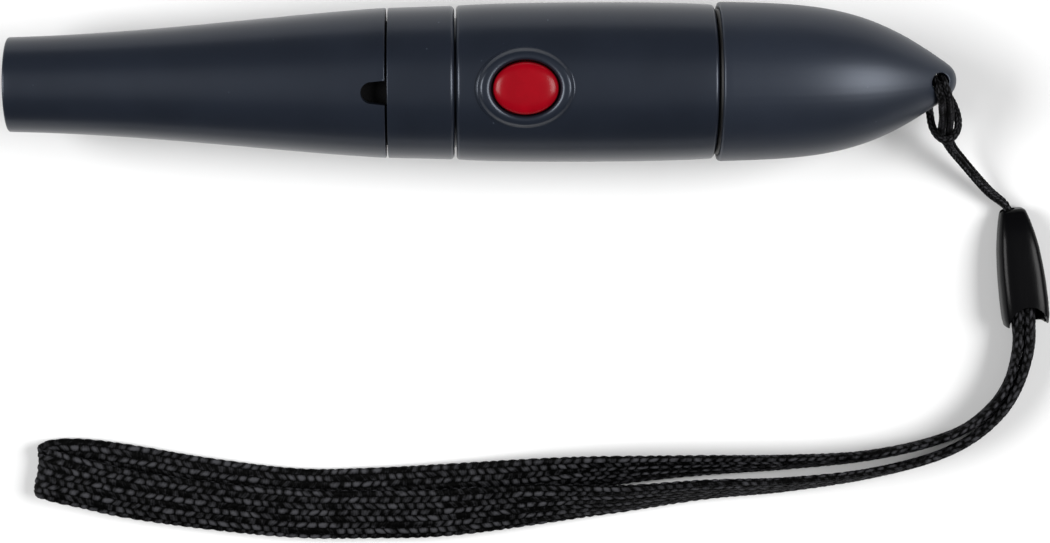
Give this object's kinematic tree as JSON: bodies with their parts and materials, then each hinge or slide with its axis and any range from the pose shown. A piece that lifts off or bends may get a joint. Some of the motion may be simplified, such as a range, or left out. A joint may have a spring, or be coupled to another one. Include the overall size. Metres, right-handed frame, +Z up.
{
  "type": "fibre light injector",
  "caption": "Pen-sized fibre test lamp with a flared hollow nose, an oval push button, a screwed bullet-shaped tail cap and a braided wrist lanyard on a girth-hitched cord.",
  "frame": {"origin": "middle of the lamp's length, straight below its axis, on the surface that it lies on; the lanyard isn't counted", "axes": "+X along the lamp from the mouth of the nose to the tip of the tail, +Y to the side away from the lanyard, +Z up through the button"},
  "size_m": [0.1473, 0.0782, 0.023],
  "materials": {
    "shell_plastic": "moulded ABS in dark blue-grey, fine satin surface",
    "button_plastic": "moulded red plastic, smooth and slightly domed",
    "barrel_plastic": "moulded black plastic, glossy",
    "lanyard_fabric": "black braided polyester",
    "reflector_plastic": "white moulded plastic",
    "lens_glass": "clear polished lens",
    "lamp_resin": "clear cast resin",
    "seal_rubber": "black nitrile rubber",
    "board_laminate": "green glass laminate with solder mask",
    "black_plastic": "black moulded plastic",
    "capacitor_ceramic": "sintered ceramic with tinned ends",
    "contact_steel": "nickel-plated steel",
    "contact_brass": "bare sheet brass",
    "cell_can": "printed label film over the can, left plain"
  },
  "bodies": {
    "lamp_body": {"front_collar": "shell_plastic", "main_body": "shell_plastic", "lamp_holder": "reflector_plastic", "collimator_lens": "lens_glass", "led": "lamp_resin", "led_leads": "contact_steel", "nose_seal": "seal_rubber", "neck_seal": "seal_rubber", "driver_board": "board_laminate", "boost_inductor": "black_plastic", "driver_chip": "black_plastic", "board_capacitors": "capacitor_ceramic", "switch_base": "black_plastic", "switch_dome": "contact_steel", "switch_cover": "contact_steel", "switch_terminals": "contact_steel", "battery_tube": "black_plastic", "positive_contact": "contact_brass", "battery_cell": "cell_can", "cell_terminal": "contact_steel", "ground_strip": "contact_brass"},
    "nose_sleeve": {"nose": "shell_plastic"},
    "button": {"red_button": "button_plastic"},
    "plunger": {"switch_plunger": "black_plastic"},
    "contact_cup": {"tail_contact_cup": "contact_brass", "tail_spring": "contact_steel"},
    "cap": {"tail_cap": "shell_plastic", "lanyard_cord": "lanyard_fabric", "lanyard_barrel": "barrel_plastic", "strap_crimp": "contact_steel", "wrist_strap": "lanyard_fabric"}
  },
  "joints": [
    {"name": "nose_pull", "type": "slide", "parent": "lamp_body", "child": "nose_sleeve", "axis": [-1, 0, 0], "range_m": [0, 0.0099]},
    {"name": "button_press", "type": "slide", "parent": "lamp_body", "child": "button", "axis": [0, 0, -1], "range_m": [0, 0.0008], "stiffness_N_per_m": 1500, "springref_m": -0.0005},
    {"name": "plunger_press", "type": "slide", "parent": "lamp_body", "child": "plunger", "axis": [0, 0, -1], "range_m": [0, 0.0008], "deforming": ["switch_dome"]},
    {"name": "cap_advance", "type": "slide", "parent": "lamp_body", "child": "contact_cup", "axis": [1, 0, 0], "range_m": [0, 0.006], "deforming": ["tail_spring"]},
    {"name": "cap_turn", "type": "hinge", "parent": "contact_cup", "child": "cap", "pos_m": [0.04, 0, 0.01108], "axis": [1, 0, 0], "range_deg": [0, 1080]}
  ],
  "couplings": [
    {"joint": "plunger_press", "follows": "button_press", "ratio": 1},
    {"joint": "cap_advance", "follows": "cap_turn", "m_per_rad": 0.0003183}
  ]
}
